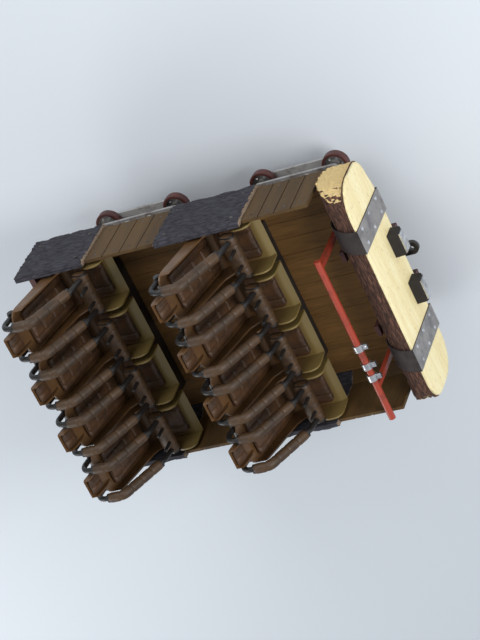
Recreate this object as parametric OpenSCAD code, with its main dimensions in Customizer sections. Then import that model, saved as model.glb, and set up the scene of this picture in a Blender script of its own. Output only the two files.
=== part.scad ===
// Timber-clad roller coaster car: two rows of four seats on four three-wheel bogies.
// Origin: middle of the footprint, at the height of the lowest wheels. +X is forwards, +Y is left, +Z is up.

/* [Track] */
// Spacing of the two running rails, centre to centre
gauge = 1200; // [1160:10:1240]
// Diameter of a running rail's tube
rail_d = 140; // [130:2:150]
// Gap from the rail to the side wheels and to the up-stop wheels
rail_gap = 3; // [1:1:8]

/* [Wheels] */
// Diameter of a road wheel, which runs on top of the rail
road_d = 240; // [220:5:250]
// Width of a road wheel
road_w = 80; // [60:5:90]
// Diameter of a side wheel, which runs against the rail's outer side
side_d = 220; // [190:5:225]
// Width of a side wheel
side_w = 70; // [50:5:74]
// Diameter of an up-stop wheel, which runs under the rail
stop_d = 180; // [150:5:190]
// Width of an up-stop wheel
stop_w = 70; // [50:5:80]
// Thickness of the polyurethane tread on each wheel
tread_t = 24; // [16:1:30]
// Wall of a wheel's hub
hub_t = 22; // [16:1:26]
// Diameter of the stub axles that the wheels turn on
stub_d = 40; // [32:2:44]
// Radial running clearance of a bearing on its axle
bearing_fit = 0.05; // [0.02:0.01:0.08]
// Gap between a hub's end and what faces it
hub_gap = 6; // [5:1:8]

/* [Bogies] */
// Distance from the middle of the car to each bogie
bogie_x = 720; // [700:5:730]
// Distance from the bogie's middle to each road wheel
road_x = 300; // [280:5:310]
// Distance from the bogie's middle to each side wheel
side_x = 320; // [300:5:330]
// Thickness of the carrier's plates
carrier_t = 28; // [20:1:32]
// Diameter of the through axle that carries the bogies
axle_d = 80; // [70:2:90]

/* [Chassis] */
// Length of the whole car
car_l = 3000; // [2900:10:3100]
// Width of the whole car, which the log and the side walls share
car_w = 2000; // [1990:2:2020]
// Distance of each long beam from the middle
beam_y = 350; // [300:5:380]
// Width of a long beam
beam_w = 90; // [70:5:100]
// Height of the top of the floor
floor_z = 602; // [600:1:620]
// Thickness of the floor
floor_t = 12; // [8:1:16]
// Number of planks across the floor
planks = 12; // [8:1:16]
// Length of the brake fin, between the two axles
fin_l = 1260; // [1000:20:1300]
// Depth of the brake fin
fin_h = 170; // [120:5:180]
// Thickness of the brake fin
fin_t = 12; // [8:1:20]
// Diameter of the coupling pin's bore
coupler_bore = 40; // [30:1:46]

/* [Body] */
// Height of the lower edge of the walls and of the log
body_low = 560; // [550:5:570]
// Height of the walls' knee above their lower edge
knee_h = 140; // [120:5:180]
// How far the walls flare out from their foot to their knee
flare = 90; // [70:5:120]
// Thickness of a dark slab on the side wall
slab_t = 60; // [50:1:64]
// Thickness of a boarded timber panel
board_t = 26; // [20:1:32]
// Width and depth of the grooves between boards
groove = 8; // [4:1:12]
// Height of the top of the dark slabs
slab_top = 1230; // [1190:5:1240]
// Height of the top of the timber panels
timber_top = 1180; // [1150:5:1185]
// Number of boards across a timber panel
boards = 4; // [3:1:6]
// Height of the top of the rear panel
rear_top = 1010; // [960:10:1060]

/* [Log] */
// Height of the log's sawn face
log_h = 640; // [600:10:640]
// Depth of the log from its sawn face to its back
log_depth = 280; // [260:5:290]
// Thickness of the sawn face
face_t = 22; // [15:1:30]
// Width of an iron strap
strap_w = 200; // [140:5:240]
// Thickness of an iron strap
strap_t = 8; // [5:1:12]
// Distance from the middle to each strap
strap_y = 550; // [480:5:600]

/* [Nose fittings] */
// Distance of each bumper from the middle
bumper_y = 220; // [200:5:280]
// Height of the bumpers' middle
bumper_z = 690; // [670:5:760]
// Width of a bumper block
bumper_w = 200; // [160:5:220]
// Height of a bumper block
bumper_h = 130; // [100:5:150]
// Thickness of a bumper's bright face
bumper_face_t = 10; // [6:1:14]
// Diameter of the rail across the nose
nose_bar_d = 56; // [48:1:60]
// Height of the rail across the nose
nose_bar_z = 1225; // [1215:5:1260]
// Left end of the rail across the nose, from the middle
nose_bar_left = 500; // [460:10:540]
// Width of the rail's square uprights
post_w = 40; // [30:2:50]

/* [Seats] */
// Spacing of the seats across the car
seat_pitch = 470; // [460:1:472]
// Width of a seat shell
seat_w = 420; // [400:2:424]
// Distance from the nose to the front row's pan corner
row_front = 1360; // [1340:5:1380]
// Distance from the tail to the rear row's pan corner
row_rear = 310; // [305:5:330]
// Height of the seat pan
pan_z = 980; // [960:5:1000]
// Length of the seat pan
pan_l = 450; // [420:5:460]
// Lean of the backrest, in degrees
lean = 15; // [12:1:17]
// Wall of the moulded seat shell
shell_t = 14; // [10:1:16]
// Height of the shoulders above the pan
shoulder_h = 680; // [640:5:690]
// Height of the headrest's top above the pan
head_h = 890; // [860:5:920]
// Width of the headrest
head_w = 190; // [170:2:196]
// Height of the wings' front horns above the pan
horn_h = 225; // [200:5:240]
// Height of the wings beside the thighs
wing_h = 105; // [90:5:120]
// Thickness of the cushions
pad_t = 45; // [30:1:50]

/* [Restraints] */
// Diameter of the restraint's tube
bar_d = 45; // [38:1:48]
// Distance from the seat's middle to each restraint arm
arm_y = 146; // [144:1:148]
// Height of the restraint's pivot above the pan
pivot_h = 600; // [580:5:610]
// Distance of the pivot behind the pan's rear corner
pivot_back = 225; // [220:1:235]
// Height of the arms where they pass over the shoulders
arch_h = 800; // [780:5:830]
// Height of the lap bar above the pan
lap_h = 240; // [225:5:270]
// Distance of the lap bar in front of the pan's rear corner
lap_x = 290; // [270:5:300]
// Diameter of the padded sleeve on each arm
sleeve_d = 76; // [60:2:78]
// Diameter of the pad on the lap bar
lap_pad_d = 84; // [70:2:88]
// Diameter of the two grips
grip_d = 28; // [24:1:34]
// Length of the two grips
grip_l = 160; // [140:5:170]

/* [Hidden] */
$fn = 48;
// Gap between a piece and the one that it is bolted to
seat_gap = 0.3;

// Heights and places that follow from the track and the wheels
stop_z = stop_d / 2;
rail_y = gauge / 2;
rail_z = stop_d + rail_gap + rail_d / 2;
rail_top = rail_z + rail_d / 2;
road_z = rail_top + road_d / 2;
side_y = rail_y + rail_d / 2 + rail_gap + side_d / 2;
hub_proud = 3;
nut_t = 10;
boss_t = 10;

// Car's ends, beams and floor
nose_x = car_l / 2;
tail_x = -car_l / 2;
wall_y = car_w / 2 - slab_t;
beam_top = floor_z - floor_t - seat_gap;
beam_z = road_z + axle_d / 2 + seat_gap;
beam_rear = tail_x + 60;
log_face_x = nose_x - 100;
log_back_x = log_face_x - log_depth;
floor_front = log_back_x - 10;
rear_t = 50;
floor_rear = tail_x + rear_t;
beam_front = floor_front - 10;
// Cross beams: their length along x, their x, and the x of the outriggers, clear of the road wheels
cross_l = 80;
cross_x = [beam_rear, -240, 160, beam_front - cross_l];
outrigger_x = [cross_x[0], -bogie_x - cross_l / 2, cross_x[1], cross_x[2], bogie_x - cross_l / 2];
cross_h = 80;
outrigger_h = 50;
// Bogie's road plate, which the axle passes through
plate_y = rail_y + road_w / 2 + hub_proud + hub_gap + 6;

// Side wall's inner line: lower edge, knee and top, as [y, z]
wall_foot = [wall_y - flare, body_low];
wall_knee = [wall_y, body_low + knee_h];
wall_slope = (wall_knee[0] - wall_foot[0]) / (wall_knee[1] - wall_foot[1]);
wall_len = norm(wall_knee - wall_foot);
wall_n = [(wall_knee[1] - wall_foot[1]) / wall_len, -(wall_knee[0] - wall_foot[0]) / wall_len];

// Seats: x of each row's rear pan corner and y of each seat, left to right
row_x = [nose_x - row_front, tail_x + row_rear];
seat_y = [for (i = [1.5, 0.5, -0.5, -1.5]) i * seat_pitch];
ROWS = ["front", "rear"];

// Log's middle height, and the circle that its back follows
log_z = body_low + log_h / 2;
log_r = (log_h * log_h / 4 + log_depth * log_depth) / (2 * log_depth);
log_cx = log_back_x + log_r;

// Rail across the nose: its place behind the log, its ends, its uprights and its clamps along y
nose_bar_x = floor_front - 100;
nose_bar_ends = [-car_w / 2, nose_bar_left];
post_y = [-690, nose_bar_left - 60];
clamp_y = [-310, -480, -590];

// Coupling lugs: their height, thickness and half width, and how far each bore is in from its end of the car
lug_z = 400;
lug_t = 40;
lug_half = 55;
lug_front = nose_x - 90;
lug_rear = tail_x + 55;

// Bogies, columns: name, side along x, side along y
CORNERS = [
    ["front_left", 1, 1],
    ["front_right", 1, -1],
    ["rear_left", -1, 1],
    ["rear_right", -1, -1]
];
// Wheels on a bogie, columns: name, place along x
PAIR = [["lead", 1], ["trail", -1]];
// Side wall panels, columns: rear end, front end, timber or not
PANELS = [
    [tail_x + 10, row_x[1] + pan_l - 100, false],
    [row_x[1] + pan_l - 100, row_x[0] - 350, true],
    [row_x[0] - 350, row_x[0] + pan_l - 30, false],
    [row_x[0] + pan_l - 30, log_back_x - 5, true]
];

// Shared forms

// A box from its low corner to its high corner
module block(lo, hi) {
    translate(lo) cube(hi - lo);
}

// Extrudes an outline drawn as [x, z] from y0 to y1
module along_y(y0, y1) {
    translate([0, y1, 0]) rotate([90, 0, 0]) linear_extrude(y1 - y0) children();
}

// Extrudes an outline drawn as [y, z] from x0 to x1
module along_x(x0, x1) {
    translate([x0, 0, 0]) rotate([90, 0, 90]) linear_extrude(x1 - x0) children();
}

// A round bar along Y at [x, z]
module bar_y(x, z, r, y0, y1) {
    translate([x, y1, z]) rotate([90, 0, 0]) cylinder(r = r, h = y1 - y0);
}

// A round bar along Z at [x, y]
module bar_z(x, y, r, z0, z1) {
    translate([x, y, z0]) cylinder(r = r, h = z1 - z0);
}

// Draws its children on the left, or mirrored to the right
module on_side(side) {
    mirror([0, side < 0 ? 1 : 0, 0]) children();
}

// Two discs of radius r and what lies between them
module slot_outline(a, b, r) {
    along = (b - a) / norm(b - a);
    across = r * [-along[1], along[0]];
    translate(a) circle(r);
    translate(b) circle(r);
    polygon([a + across, b + across, b - across, a - across]);
}

function unit(v) = v / norm(v);
function turned(v) = [-v[1], v[0]];
function cross2(a, b) = a[0] * b[1] - a[1] * b[0];

// One corner of an outline, rounded to radius r with a few chords
function corner(a, b, c, r) =
    let (u = unit(b - a), v = unit(c - b), turn = atan2(cross2(u, v), u * v))
    abs(turn) < 1 || r == 0 ? [b] :
    let (cut = r * tan(abs(turn) / 2), way = sign(turn), mid = b - cut * u + way * r * turned(u))
    [for (k = [0:5]) mid - way * r * turned(rotated(u, turn * k / 5))];
function rotated(v, a) = [v[0] * cos(a) - v[1] * sin(a), v[0] * sin(a) + v[1] * cos(a)];

// An outline with rounded corners, from points given as [x, y, radius]
function rounded(pts) = [
    for (i = [0:len(pts) - 1])
        let (a = pts[(i + len(pts) - 1) % len(pts)], b = pts[i], c = pts[(i + 1) % len(pts)])
        each corner([a[0], a[1]], [b[0], b[1]], [c[0], c[1]], b[2])
];

// A tube of radius r along points [x, z], with each inner point bent to radius bend.
// A bend is drawn a hair thinner and runs a little into the straights, so that they join as one solid.
module bent_tube(pts, bend, r) {
    lap = 3;
    bend_r = r - 0.3;
    last = len(pts) - 1;
    trim = [for (i = [0:last]) i == 0 || i == last ? 0 : bend * tan(abs(turn_at(pts, i)) / 2)];
    rotate([90, 0, 0]) {
        for (i = [0:last - 1]) {
            way = unit(pts[i + 1] - pts[i]);
            start = pts[i] + trim[i] * way;
            stop = pts[i + 1] - trim[i + 1] * way;
            translate([start[0], start[1], 0]) rotate([0, 0, atan2(way[1], way[0])])
                rotate([0, 90, 0]) cylinder(r = r, h = norm(stop - start));
        }
        for (i = [1:last - 1]) {
            turn = turn_at(pts, i);
            way = unit(pts[i] - pts[i - 1]);
            mid = pts[i] - trim[i] * way + sign(turn) * bend * turned(way);
            from = atan2(way[1], way[0]) - sign(turn) * 90;
            if (abs(turn) > 1)
                translate([mid[0], mid[1], 0]) rotate([0, 0, (turn > 0 ? from : from + turn) - lap])
                    rotate_extrude(angle = abs(turn) + 2 * lap) translate([bend, 0]) circle(bend_r);
        }
    }
}
function turn_at(pts, i) =
    let (u = unit(pts[i] - pts[i - 1]), v = unit(pts[i + 1] - pts[i])) atan2(cross2(u, v), u * v);

// Wheels

// A wheel about Z, with its bore, hub, dished web, rim and tread
module wheel(d, w) {
    bore = stub_d / 2 + bearing_fit;
    hub_r = stub_d / 2 + hub_t;
    rim_r = d / 2 - tread_t;
    hub_half = w / 2 + hub_proud;
    web_half = w / 2 - 16;
    round = 8;
    rotate_extrude() polygon([
        [bore, -hub_half], [hub_r, -hub_half], [hub_r + 5, -web_half], [rim_r - 10, -web_half],
        [rim_r - 5, -w / 2 + 4], [rim_r, -w / 2 + 4], [rim_r + 2, -w / 2], [d / 2 - round, -w / 2],
        [d / 2 - round / 3, -w / 2 + round / 3], [d / 2, -w / 2 + round],
        [d / 2, w / 2 - round], [d / 2 - round / 3, w / 2 - round / 3],
        [d / 2 - round, w / 2], [rim_r + 2, w / 2], [rim_r, w / 2 - 4], [rim_r - 5, w / 2 - 4],
        [rim_r - 10, web_half], [hub_r + 5, web_half], [hub_r, hub_half], [bore, hub_half]
    ]);
}

module road_wheel(c, p) {
    color("sienna") translate([c[1] * bogie_x + p[1] * road_x, c[2] * rail_y, road_z])
        rotate([90, 0, 0]) wheel(road_d, road_w);
}

module side_wheel(c, p) {
    color("sienna") translate([c[1] * bogie_x + p[1] * side_x, c[2] * side_y, rail_z])
        wheel(side_d, side_w);
}

module stop_wheel(c) {
    color("sienna") translate([c[1] * bogie_x, c[2] * rail_y, stop_z])
        rotate([90, 0, 0]) wheel(stop_d, stop_w);
}

// Bogies

// A stub axle along Y for a wheel of width w at [x, z], from a plate at y: boss, pin and nut
module stub_y(x, z, w, y) {
    inner = rail_y - w / 2 - hub_proud;
    outer = rail_y + w / 2 + hub_proud;
    bar_y(x, z, stub_d / 2, inner - hub_gap - nut_t, y);
    bar_y(x, z, stub_d / 2 + 12, outer + hub_gap, y);
    bar_y(x, z, stub_d / 2 + 10, inner - hub_gap - nut_t, inner - hub_gap);
}

// One bogie's carrier: road plate, upper and lower side-wheel plates, web, gussets and up-stop arm
module carrier(c) {
    t = carrier_t;
    pin_r = stub_d / 2;
    plate_r = 55;
    boss_r = pin_r + 12;
    nut_r = pin_r + 10;
    upper_z = rail_top + 12;
    lower_z = rail_z - side_w / 2 - hub_proud - hub_gap - 6;
    web_half = 110;
    arm_half = 45;
    arm_t = 40;
    web_y = [rail_y + rail_d / 2 + 20, side_y - 23];
    lower_y = [side_y - 43, side_y + 43];
    hole_x = road_x / 2 + 25;
    gusset_x = 210;
    gusset_t = 14;
    color("silver") translate([c[1] * bogie_x, 0, 0]) on_side(c[2]) difference() {
        union() {
            along_y(plate_y, plate_y + t) slot_outline([-road_x, road_z], [road_x, road_z], plate_r);
            block([-road_x + 30, plate_y, upper_z], [road_x - 30, plate_y + t, road_z]);
            block([-side_x, plate_y, upper_z], [side_x, side_y + 50, upper_z + t]);
            block([-side_x, lower_y[0], lower_z - t], [side_x, lower_y[1], lower_z]);
            block([-web_half, web_y[0], lower_z - t], [web_half, web_y[1], upper_z + 1]);
            along_y(web_y[0], web_y[0] + arm_t) polygon([
                [-web_half, lower_z], [-arm_half, stop_z], [arm_half, stop_z], [web_half, lower_z]
            ]);
            bar_y(0, stop_z, arm_half, web_y[0], web_y[0] + arm_t);
            for (x = [-gusset_x, gusset_x]) along_x(x - gusset_t / 2, x + gusset_t / 2) polygon([
                [plate_y + t - 1, upper_z + t - 1], [side_y + 30, upper_z + t - 1],
                [plate_y + t - 1, road_z + 10]
            ]);
            for (p = PAIR) {
                stub_y(p[1] * road_x, road_z, road_w, plate_y);
                bar_z(p[1] * side_x, side_y, 50, upper_z, upper_z + t);
                bar_z(p[1] * side_x, side_y, 43, lower_z - t, lower_z);
                bar_z(p[1] * side_x, side_y, pin_r, lower_z - 1, upper_z + 1);
                bar_z(p[1] * side_x, side_y, boss_r, rail_z + side_w / 2 + hub_proud + hub_gap, upper_z + 1);
                bar_z(p[1] * side_x, side_y, nut_r, upper_z + t - 1, upper_z + t + nut_t);
            }
            stub_y(0, stop_z, stop_w, web_y[0] + 1);
            bar_y(0, road_z, axle_d / 2 + 30, plate_y - boss_t, plate_y + t);
        }
        bar_y(0, road_z, axle_d / 2 + seat_gap, plate_y - boss_t - 1, plate_y + t + 1);
        for (s = [-1, 1]) {
            bar_y(s * hole_x, road_z, 28, plate_y - 1, plate_y + t + 1);
            bar_z(s * gusset_x / 2, side_y + 5, 32, upper_z - 1, upper_z + t + 1);
        }
    }
}

// Chassis

module long_beams() {
    color("#4a2a26") for (s = [-1, 1])
        block([beam_rear, s * beam_y - beam_w / 2, beam_z], [beam_front, s * beam_y + beam_w / 2, beam_top]);
}

// Cross beams between the long beams, and outriggers from them to the side walls
module cross_beams() {
    inner = beam_y - beam_w / 2 - seat_gap;
    outer = beam_y + beam_w / 2 + seat_gap;
    color("#4a2a26") {
        for (x = cross_x)
            block([x, -inner, beam_top - cross_h], [x + cross_l, inner, beam_top]);
        for (x = outrigger_x, side = [-1, 1]) on_side(side)
            block([x, outer, beam_top - outrigger_h], [x + cross_l, wall_foot[0] - 1, beam_top]);
    }
}

// The two through axles, with the saddles under the long beams and a cap outside each bogie
module bogie_axles() {
    cap_t = 12;
    cap_y = plate_y + carrier_t + seat_gap;
    saddle_half = 58;
    saddle_low = 52;
    color("#5a5654") for (x = [-bogie_x, bogie_x]) {
        bar_y(x, road_z, axle_d / 2, -cap_y - 1, cap_y + 1);
        for (side = [-1, 1]) on_side(side) {
            bar_y(x, road_z, axle_d / 2 + 15, cap_y, cap_y + cap_t);
            block([x - saddle_half, beam_y - beam_w / 2, road_z - saddle_low],
                  [x + saddle_half, beam_y + beam_w / 2, beam_z - seat_gap]);
        }
    }
}

// Arms that carry the log's foot, and brackets on the floor behind the log
module nose_mounts() {
    arm_top = body_low - seat_gap;
    arm_h = 100;
    arm_half = 45;
    bracket_t = 25;
    bracket_top = log_z + 100;
    color("#4a2a26") for (side = [-1, 1]) on_side(side) {
        block([beam_front + seat_gap, bumper_y - arm_half, arm_top - arm_h],
              [log_face_x - 10, bumper_y + arm_half, arm_top]);
        block([floor_front - bracket_t, beam_y - arm_half, floor_z + seat_gap],
              [log_back_x - seat_gap, beam_y + arm_half, bracket_top]);
    }
}

// Planked floor between the flared feet of the walls
module floor_plate() {
    half = wall_in(floor_z - floor_t) - 0.5;
    plank = 2 * half / planks;
    gap_w = 5;
    gap_h = 4;
    color("#8a6230") difference() {
        block([floor_rear, -half, floor_z - floor_t], [floor_front, half, floor_z]);
        for (i = [1:planks - 1]) translate([floor_rear - 1, -half + i * plank - gap_w / 2, floor_z - gap_h])
            cube([floor_front - floor_rear + 2, gap_w, gap_h + 1]);
    }
}

// Brake fin on two hangers under the middle cross beams
module brake_fin() {
    top = road_z + 20;
    color("silver") {
        along_y(-fin_t / 2, fin_t / 2) polygon(rounded([
            [-fin_l / 2, top, 10], [-fin_l / 2, top - fin_h + 70, 30], [-fin_l / 2 + 120, top - fin_h, 60],
            [fin_l / 2 - 120, top - fin_h, 60], [fin_l / 2, top - fin_h + 70, 30], [fin_l / 2, top, 10]
        ]));
        for (i = [1, 2])
            block([cross_x[i], -30, top - 40], [cross_x[i] + cross_l, 30, beam_top - cross_h - seat_gap]);
    }
}

// Rubber blocks on the log's face
module bumper_blocks() {
    low = bumper_z - bumper_h / 2;
    high = bumper_z + bumper_h / 2;
    front = nose_x - bumper_face_t - seat_gap;
    color("#2b2320") for (s = [-1, 1])
        along_y(s * bumper_y - bumper_w / 2, s * bumper_y + bumper_w / 2) polygon(rounded([
            [log_face_x + seat_gap, low, 0], [front, low + 12, 20], [front, high - 12, 20],
            [log_face_x + seat_gap, high, 0]
        ]));
}

module bumper_faces() {
    edge = 15;
    color("silver") for (s = [-1, 1])
        block([nose_x - bumper_face_t, s * bumper_y - bumper_w / 2 + edge, bumper_z - bumper_h / 2 + edge],
              [nose_x, s * bumper_y + bumper_w / 2 - edge, bumper_z + bumper_h / 2 - edge]);
}

// Front and rear coupling lugs, each with a vertical bore for the drawbar's pin and a hanger to the beams
module couplers() {
    // Columns: bore's x, inner end of the lug, hanger's x
    lugs = [[lug_front, floor_front - 60, cross_x[3]], [lug_rear, beam_rear + cross_l, cross_x[0]]];
    top = lug_z + lug_t;
    color("#3a3a3c") difference() {
        for (lug = lugs) {
            block([min(lug[0], lug[1]), -lug_half, lug_z], [max(lug[0], lug[1]), lug_half, top]);
            bar_z(lug[0], 0, lug_half, lug_z, top);
            block([lug[2], -lug_half, lug_z], [lug[2] + cross_l, lug_half, beam_top - cross_h - seat_gap]);
        }
        for (lug = lugs) bar_z(lug[0], 0, coupler_bore / 2, lug_z - 1, top + 1);
    }
}

// Log nose

// The log's cross-section as [x, z], grown outwards by g and cut off at x = front
module log_section(g, front) {
    intersection() {
        translate([log_cx, log_z]) circle(log_r + g, $fn = 96);
        translate([log_cx - log_r - g - 1, log_z - log_r - g - 1])
            square([front - log_cx + log_r + g + 1, 2 * (log_r + g + 1)]);
    }
}

module log_bark() {
    color("#5a2b26") intersection() {
        along_y(-car_w / 2, car_w / 2) log_section(0, log_face_x - face_t - seat_gap);
        along_x(log_back_x - 1, log_face_x) polygon(log_outline(0));
    }
}

// Front view of the log as [y, z], inset by g, with its rounded ends and a slight taper
function log_outline(g) =
    let (half = car_w / 2 - g, low = body_low + g, high = body_low + log_h - g)
    rounded([
        [half, low + 70, 150], [half, high, 230], [-half, high, 190], [-half, low, 260],
        [half - 300, low, 400]
    ]);

module log_face() {
    color("#f0dfa0") along_x(log_face_x - face_t, log_face_x) polygon(log_outline(12));
}

module log_straps() {
    color("#7c7f84") for (s = [-1, 1])
        along_y(s * strap_y - strap_w / 2, s * strap_y + strap_w / 2) difference() {
            log_section(seat_gap + strap_t, log_face_x + seat_gap + strap_t);
            log_section(seat_gap, log_face_x + seat_gap);
        }
}

// Rail across the nose, behind the log, on two uprights
module nose_rail() {
    color("orangered") {
        bar_y(nose_bar_x, nose_bar_z, nose_bar_d / 2, nose_bar_ends[0], nose_bar_ends[1]);
        for (y = post_y)
            block([nose_bar_x - post_w / 2, y - post_w / 2, floor_z + seat_gap],
                  [nose_bar_x + post_w / 2, y + post_w / 2, nose_bar_z]);
    }
}

// Clamps round the nose rail, each with an ear for its bolt
module rail_clamps() {
    bore = nose_bar_d / 2 + seat_gap;
    wall = 14;
    half = 28;
    ear = [50, 22, 12];
    color("silver") for (y = clamp_y) difference() {
        union() {
            bar_y(nose_bar_x, nose_bar_z, bore + wall, y - half, y + half);
            block([nose_bar_x + bore, y - ear[1], nose_bar_z - ear[2]],
                  [nose_bar_x + bore + ear[0], y + ear[1], nose_bar_z + ear[2]]);
        }
        bar_y(nose_bar_x, nose_bar_z, bore, y - half - 1, y + half + 1);
    }
}

// Side walls

// Inner face of the side wall at height z
function wall_in(z) = z < wall_knee[1] ? wall_foot[0] + (z - wall_foot[1]) * wall_slope : wall_y;

// Cross-section of a side wall of thickness t as [y, z], up to a given top, its outer top edge rounded to r
function wall_section(t, top, r) =
    let (foot = wall_foot + t * wall_n, reach = wall_y + t - foot[0])
    rounded([
        [each wall_foot, 0], [each wall_knee, 0], [wall_y, top, 0], [wall_y + t, top, r],
        [wall_y + t, foot[1] + reach / wall_slope, 2 * r], [each foot, 0]
    ]);

// Dark slabs, like the outer cut of a log, thicker than the timber panels between them
module dark_panels(side) {
    color("#4b474b") on_side(side) for (p = PANELS) if (!p[2])
        along_x(p[0] + seat_gap, p[1] - seat_gap) polygon(wall_section(slab_t, slab_top, 30));
}

// Timber panels: a backing, and boards that stand out of it with a groove between them
module timber_panels(side) {
    color("#9a6a2a") on_side(side) for (p = PANELS) if (p[2]) {
        board = (p[1] - p[0] - 2 * seat_gap) / boards;
        along_x(p[0] + seat_gap, p[1] - seat_gap) polygon(wall_section(board_t - groove, timber_top, 0));
        for (i = [0:boards - 1]) {
            x = p[0] + seat_gap + i * board;
            along_x(x + (i == 0 ? 0 : groove / 2), x + board - (i == boards - 1 ? 0 : groove / 2))
                polygon(wall_section(board_t, timber_top, 0));
        }
    }
}

// Boarded panel across the tail
module rear_panel() {
    half = [wall_foot[0] - 2 * seat_gap, wall_y - 2 * seat_gap];
    rows = 4;
    row_h = (rear_top - body_low) / rows;
    color("#7a3b35") difference() {
        along_x(tail_x, floor_rear - seat_gap) polygon([
            [-half[0], body_low], [half[0], body_low], [half[1], wall_knee[1]],
            [half[1], rear_top], [-half[1], rear_top], [-half[1], wall_knee[1]]
        ]);
        for (i = [1:rows - 1]) translate([tail_x - 1, -wall_y, body_low + i * row_h - groove / 2])
            cube([groove + 1, 2 * wall_y, groove]);
    }
}

// Seats, drawn about the pan's rear corner, as [x, z]

function back_x(z) = -z * tan(lean);

module at_row(r) {
    translate([row_x[r], 0, pan_z]) children();
}

module each_seat() {
    for (y = seat_y) translate([0, y, 0]) children();
}

// One bucket: pan, back and side wings, hollowed out of one outline
module bucket() {
    t = shell_t;
    outline = rounded([
        [-t + 4, -t, 30], [pan_l - 40, -t, 30], [pan_l, -t - 26, 8], [pan_l + 6, 30, 20],
        [pan_l + 14, horn_h, 75], [pan_l - 145, horn_h, 75], [pan_l - 205, wing_h, 60],
        [140, wing_h, 60], [60, 190, 90], [back_x(430) + 95, 430, 120],
        [back_x(shoulder_h) + 70, shoulder_h, 40], [back_x(shoulder_h) - t, shoulder_h, 4]
    ]);
    hollow = rounded([
        [0, 0, 55], [pan_l - 50, 0, 60], [pan_l + 60, -60, 0], [pan_l + 200, -60, 0],
        [pan_l + 200, 1100, 0], [back_x(1100), 1100, 0]
    ]);
    front = rounded([
        [-seat_w / 2, -60, 0], [seat_w / 2, -60, 0],
        [seat_w / 2, shoulder_h, 90], [-seat_w / 2, shoulder_h, 90]
    ]);
    intersection() {
        difference() {
            along_y(-seat_w / 2, seat_w / 2) polygon(outline);
            along_y(-seat_w / 2 + t, seat_w / 2 - t) polygon(hollow);
        }
        along_x(-400, pan_l + 100) polygon(front);
    }
}

// The headrest above the shoulders, with its two ears
module headrest() {
    t = shell_t;
    z0 = shoulder_h - 60;
    ear = 46;
    outline = rounded([
        [back_x(z0) - t, z0, 0], [back_x(z0) + 8, z0, 0], [back_x(z0 + 90) + ear, z0 + 90, 50],
        [back_x(head_h - 40) + ear, head_h - 30, 50], [back_x(head_h) - t, head_h, 30]
    ]);
    front = rounded([
        [-head_w / 2, z0, 0], [head_w / 2, z0, 0], [head_w / 2 - 8, head_h, 70], [-head_w / 2 + 8, head_h, 70]
    ]);
    intersection() {
        difference() {
            along_y(-head_w / 2, head_w / 2) polygon(outline);
            along_y(-head_w / 2 + t, head_w / 2 - t)
                polygon([[back_x(z0), z0 - 1], [500, z0 - 1], [500, 1200], [back_x(1200), 1200]]);
        }
        along_x(-400, 300) polygon(front);
    }
}

module seat_shells(r) {
    color("#8c7a3c") at_row(r) each_seat() {
        bucket();
        headrest();
    }
}

module seat_cushions(r) {
    g = seat_gap;
    half = seat_w / 2 - shell_t - 26;
    top = shoulder_h - 70;
    // Headrest's pad: thickness, lower end and upper end
    head_pad = 32;
    head_low = shoulder_h + 30;
    head_top = head_h - 45;
    color("#1d1d22") at_row(r) each_seat() {
        along_y(-half, half) polygon(rounded([
            [90, g, 10], [pan_l - 70, g, 10], [pan_l - 70, pad_t, 22], [90, pad_t, 22]
        ]));
        along_y(-half, half) polygon(rounded([
            [back_x(70) + g, 70, 10], [back_x(70) + pad_t, 70, 22], [back_x(top) + pad_t, top, 22],
            [back_x(top) + g, top, 10]
        ]));
        along_y(-head_w / 2 + shell_t + 6, head_w / 2 - shell_t - 6) polygon(rounded([
            [back_x(head_low) + g, head_low, 6], [back_x(head_low) + head_pad, head_low, 14],
            [back_x(head_top) + head_pad, head_top, 14], [back_x(head_top) + g, head_top, 6]
        ]));
    }
}

// One row's pedestal, cross beam, spines behind the seats, and the restraints' pivot pins
module seat_frame(r) {
    under = -shell_t - seat_gap;
    beam_h = 60;
    beam_x = [40, 320];
    beam_half = seat_y[0] + arm_y + pin_out;
    foot_x = [60, 300];
    foot_half = 640;
    spine_half = 45;
    spine_d = 70;
    spine_top = pivot_h + 20;
    washer_y = arm_y + hub_out + 5;
    washer_t = 10;
    function spine_x(z) = back_x(z) - shell_t - seat_gap;
    color("#33302e") at_row(r) {
        block([foot_x[0], -foot_half, floor_z - pan_z + seat_gap],
              [foot_x[1], foot_half, under - beam_h - seat_gap]);
        block([beam_x[0], -beam_half, under - beam_h], [beam_x[1], beam_half, under]);
        each_seat() {
            along_y(-spine_half, spine_half) polygon([
                [beam_x[0] - seat_gap, under - beam_h], [beam_x[0] - seat_gap, under],
                [spine_x(under), under], [spine_x(spine_top), spine_top],
                [spine_x(spine_top) - spine_d, spine_top],
                [spine_x(60) - spine_d, 60], [-spine_d, under - beam_h]
            ]);
            bar_y(-pivot_back, pivot_h, spine_half, -spine_half, spine_half);
            bar_y(-pivot_back, pivot_h, stub_d / 2, -arm_y - pin_out, arm_y + pin_out);
            for (s = [-1, 1]) on_side(s)
                bar_y(-pivot_back, pivot_h, stub_d / 2 + 8, washer_y, washer_y + washer_t);
        }
    }
}

// Pivot of a restraint: half the spine plus its running gap, and how far the hub and the pin pass the arm
hub_in = 51;
hub_out = 25;
pin_out = 40;

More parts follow.
